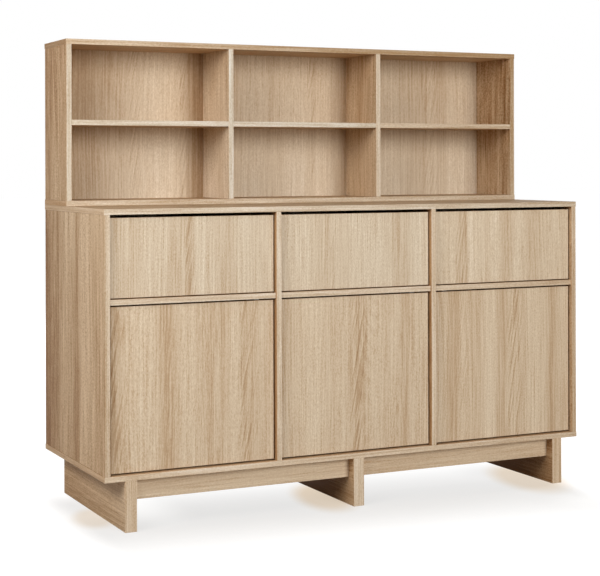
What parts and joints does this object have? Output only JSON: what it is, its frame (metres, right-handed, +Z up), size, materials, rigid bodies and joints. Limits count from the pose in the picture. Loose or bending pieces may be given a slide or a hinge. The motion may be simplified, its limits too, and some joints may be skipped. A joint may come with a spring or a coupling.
{
  "type": "chest of drawers",
  "caption": "Wide oak-faced chest with a row of drawers over a row of doors, an open shelf hutch on its top and low panel legs.",
  "frame": {"origin": "on the floor under the middle of the chest", "axes": "+X along the front to the right, +Y from the front to the back, +Z up; doors and drawers face -Y"},
  "size_m": [1.6, 0.575, 1.406],
  "materials": {
    "oak_board": "pale oak-faced board, satin, matching edge banding",
    "box_board": "plain pale oak-look drawer board",
    "thin_sheet": "thin fibreboard sheet with an oak-look face",
    "steel": "zinc-plated and nickel-plated fittings",
    "plastic": "light grey moulded plastic"
  },
  "bodies": {
    "carcass": {"base_bottom": "oak_board", "base_top_board": "oak_board", "base_side_left": "oak_board", "base_side_right": "oak_board", "base_divider_left": "oak_board", "base_divider_right": "oak_board", "drawer_deck_left": "oak_board", "drawer_deck_middle": "oak_board", "drawer_deck_right": "oak_board", "base_back_sheet": "thin_sheet", "hutch_bottom_board": "oak_board", "hutch_top_board": "oak_board", "hutch_side_left": "oak_board", "hutch_side_right": "oak_board", "hutch_divider_left": "oak_board", "hutch_divider_right": "oak_board", "hutch_shelf_left": "oak_board", "hutch_shelf_middle": "oak_board", "hutch_shelf_right": "oak_board", "hutch_back_sheet": "thin_sheet", "leg_left": "oak_board", "leg_middle": "oak_board", "leg_right": "oak_board", "apron_front_left": "oak_board", "apron_front_right": "oak_board", "apron_rear_left": "oak_board", "apron_rear_right": "oak_board", "cupboard_shelves": "oak_board", "shelf_pins": "steel", "cabinet_runners": "steel", "hinge_arms": "steel", "latch_bodies": "plastic", "carcass_screws": "steel"},
    "drawer_left": {"drawer_front_left": "oak_board", "drawer_sides_left": "box_board", "drawer_back_left": "box_board", "drawer_bottom_left": "thin_sheet", "drawer_runners_left": "steel"},
    "drawer_middle": {"drawer_front_middle": "oak_board", "drawer_sides_middle": "box_board", "drawer_back_middle": "box_board", "drawer_bottom_middle": "thin_sheet", "drawer_runners_middle": "steel"},
    "drawer_right": {"drawer_front_right": "oak_board", "drawer_sides_right": "box_board", "drawer_back_right": "box_board", "drawer_bottom_right": "thin_sheet", "drawer_runners_right": "steel"},
    "ball_cage_left": {"ball_cages_left": "steel"},
    "ball_cage_middle": {"ball_cages_middle": "steel"},
    "ball_cage_right": {"ball_cages_right": "steel"},
    "door_left": {"door_left": "oak_board", "hinge_cups_left": "steel"},
    "door_middle": {"door_middle": "oak_board", "hinge_cups_middle": "steel"},
    "door_right": {"door_right": "oak_board", "hinge_cups_right": "steel"},
    "plunger_left": {"latch_plunger_left": "plastic"},
    "plunger_middle": {"latch_plunger_middle": "plastic"},
    "plunger_right": {"latch_plunger_right": "plastic"}
  },
  "joints": [
    {"name": "drawer_left_slide", "type": "slide", "parent": "carcass", "child": "drawer_left", "axis": [0, -1, 0], "range_m": [0, 0.33]},
    {"name": "drawer_middle_slide", "type": "slide", "parent": "carcass", "child": "drawer_middle", "axis": [0, -1, 0], "range_m": [0, 0.33]},
    {"name": "drawer_right_slide", "type": "slide", "parent": "carcass", "child": "drawer_right", "axis": [0, -1, 0], "range_m": [0, 0.33]},
    {"name": "ball_cage_left_roll", "type": "slide", "parent": "carcass", "child": "ball_cage_left", "axis": [0, -1, 0], "range_m": [0, 0.165]},
    {"name": "ball_cage_middle_roll", "type": "slide", "parent": "carcass", "child": "ball_cage_middle", "axis": [0, -1, 0], "range_m": [0, 0.165]},
    {"name": "ball_cage_right_roll", "type": "slide", "parent": "carcass", "child": "ball_cage_right", "axis": [0, -1, 0], "range_m": [0, 0.165]},
    {"name": "door_left_hinge", "type": "hinge", "parent": "carcass", "child": "door_left", "pos_m": [-0.7735, -0.269, 0.398], "axis": [0, 0, -1], "range_deg": [0, 95]},
    {"name": "door_middle_hinge", "type": "hinge", "parent": "carcass", "child": "door_middle", "pos_m": [-0.2465, -0.269, 0.398], "axis": [0, 0, -1], "range_deg": [0, 95]},
    {"name": "door_right_hinge", "type": "hinge", "parent": "carcass", "child": "door_right", "pos_m": [0.7735, -0.269, 0.398], "axis": [0, 0, 1], "range_deg": [0, 95]},
    {"name": "latch_left_push", "type": "slide", "parent": "carcass", "child": "plunger_left", "axis": [0, -1, 0], "range_m": [0, 0.008]},
    {"name": "latch_middle_push", "type": "slide", "parent": "carcass", "child": "plunger_middle", "axis": [0, -1, 0], "range_m": [0, 0.008]},
    {"name": "latch_right_push", "type": "slide", "parent": "carcass", "child": "plunger_right", "axis": [0, -1, 0], "range_m": [0, 0.008]}
  ],
  "couplings": [
    {"joint": "ball_cage_left_roll", "follows": "drawer_left_slide", "ratio": 0.5},
    {"joint": "ball_cage_middle_roll", "follows": "drawer_middle_slide", "ratio": 0.5},
    {"joint": "ball_cage_right_roll", "follows": "drawer_right_slide", "ratio": 0.5},
    {"joint": "latch_left_push", "follows": "door_left_hinge", "m_per_rad": 0.0048},
    {"joint": "latch_middle_push", "follows": "door_middle_hinge", "m_per_rad": 0.0048},
    {"joint": "latch_right_push", "follows": "door_right_hinge", "m_per_rad": 0.0048}
  ]
}
